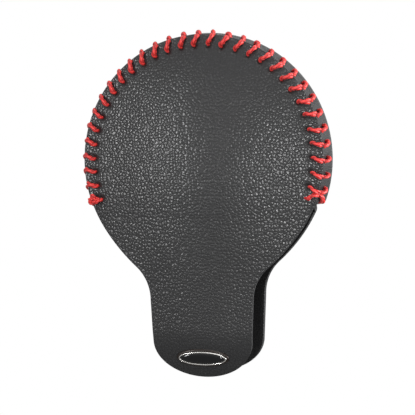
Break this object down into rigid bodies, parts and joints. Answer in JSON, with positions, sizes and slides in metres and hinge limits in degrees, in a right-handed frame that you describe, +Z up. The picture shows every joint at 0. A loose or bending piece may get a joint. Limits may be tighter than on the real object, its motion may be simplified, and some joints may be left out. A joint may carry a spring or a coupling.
{
  "type": "hand-sewn leather gear knob cover",
  "caption": "Empty flat leather cover for a gear knob: two keyhole panels sewn edge to edge round the head with baseball stitch, open between two tongues, with an oval badge.",
  "frame": {"origin": "centre of the seam circle, in the seam plane, where the middle of the knob sits", "axes": "+X to the right seen from the front panel, +Y from the front panel to the back panel, +Z up from the tongues to the head"},
  "size_m": [0.0778, 0.0203, 0.1041],
  "materials": {
    "leather": "pebbled black grain, satin",
    "thread": "red waxed twisted polyester",
    "badge_base": "dark bronze gloss",
    "badge_rim": "polished",
    "badge_dome": "black high gloss",
    "backing_plate": "plain zinc plated"
  },
  "bodies": {
    "crown": {"front_panel_crown": "leather", "back_panel_crown": "leather", "front_stitches": "thread", "back_stitches": "thread", "inner_front_stitches": "thread", "inner_back_stitches": "thread", "front_end_stitch": "thread", "back_end_stitch": "thread", "start_knot": "thread"},
    "front_flap": {"front_panel_flap": "leather", "badge_base": "badge_base", "badge_rim": "badge_rim", "badge_dome": "badge_dome", "badge_backing_plate": "backing_plate", "badge_pins": "backing_plate"},
    "back_flap": {"back_panel_flap": "leather"}
  },
  "joints": [
    {"name": "front_flap_bend", "type": "hinge", "parent": "crown", "child": "front_flap", "pos_m": [0, -0.0038, -0.018], "axis": [-1, 0, 0], "range_deg": [-4, 45], "stiffness_Nm_per_rad": 0.03},
    {"name": "back_flap_bend", "type": "hinge", "parent": "crown", "child": "back_flap", "pos_m": [0, 0.01405, -0.018], "axis": [1, 0, 0], "range_deg": [-4, 45], "stiffness_Nm_per_rad": 0.03}
  ]
}
